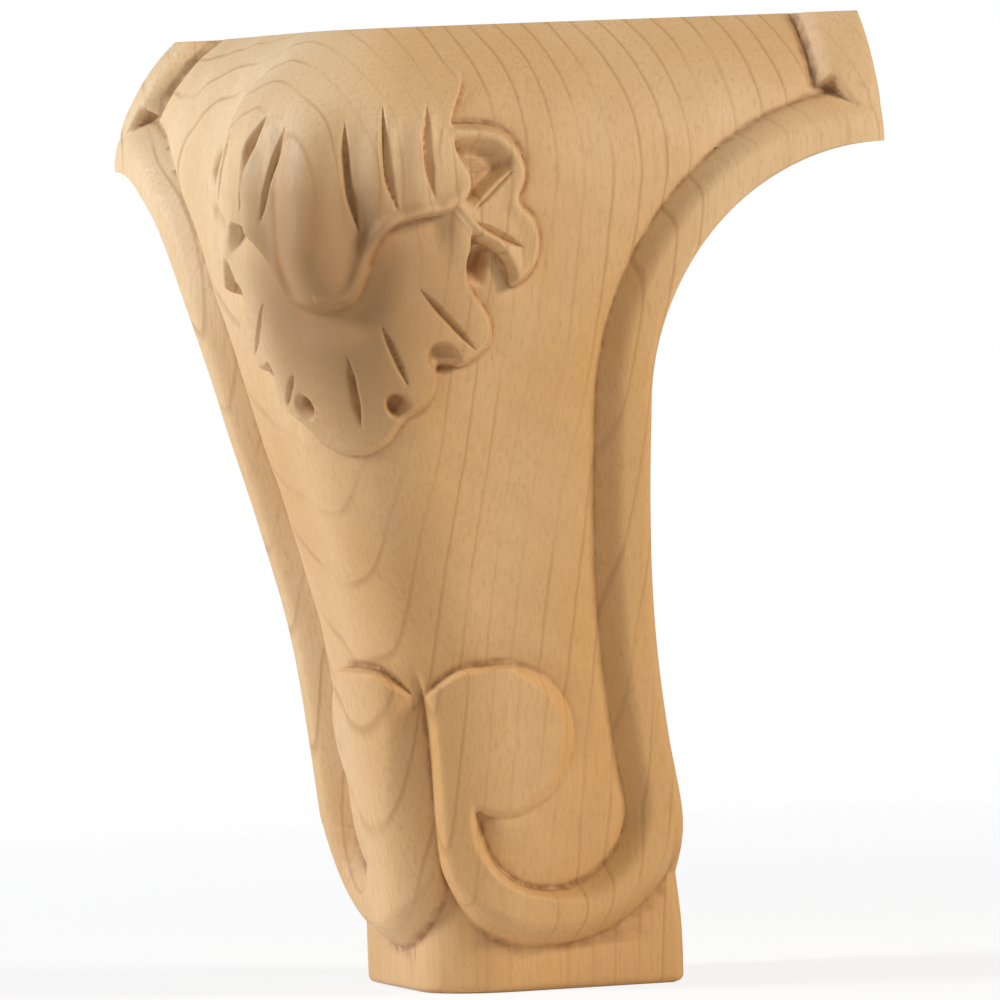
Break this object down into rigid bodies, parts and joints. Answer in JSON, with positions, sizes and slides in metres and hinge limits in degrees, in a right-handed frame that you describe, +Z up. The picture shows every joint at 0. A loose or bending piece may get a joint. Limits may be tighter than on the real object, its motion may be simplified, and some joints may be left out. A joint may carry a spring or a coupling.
{
  "type": "carved furniture leg",
  "caption": "short corner leg for a cabinet: knee carved with an overturned leaf, beaded edges curling into scrolls over a square foot, flat top to fix under a corner",
  "frame": {"origin": "middle of the foot's sole, which is also under the middle of the square block the leg is cut from", "axes": "+Z up; the two carved faces look along -X and -Y, and the carved corner between them points along -X-Y"},
  "size_m": [0.133, 0.133, 0.203],
  "materials": {
    "maple": "sanded maple, unstained, with a faint satin sheen"
  },
  "bodies": {
    "root": {"carved_leg": "maple"}
  },
  "joints": []
}
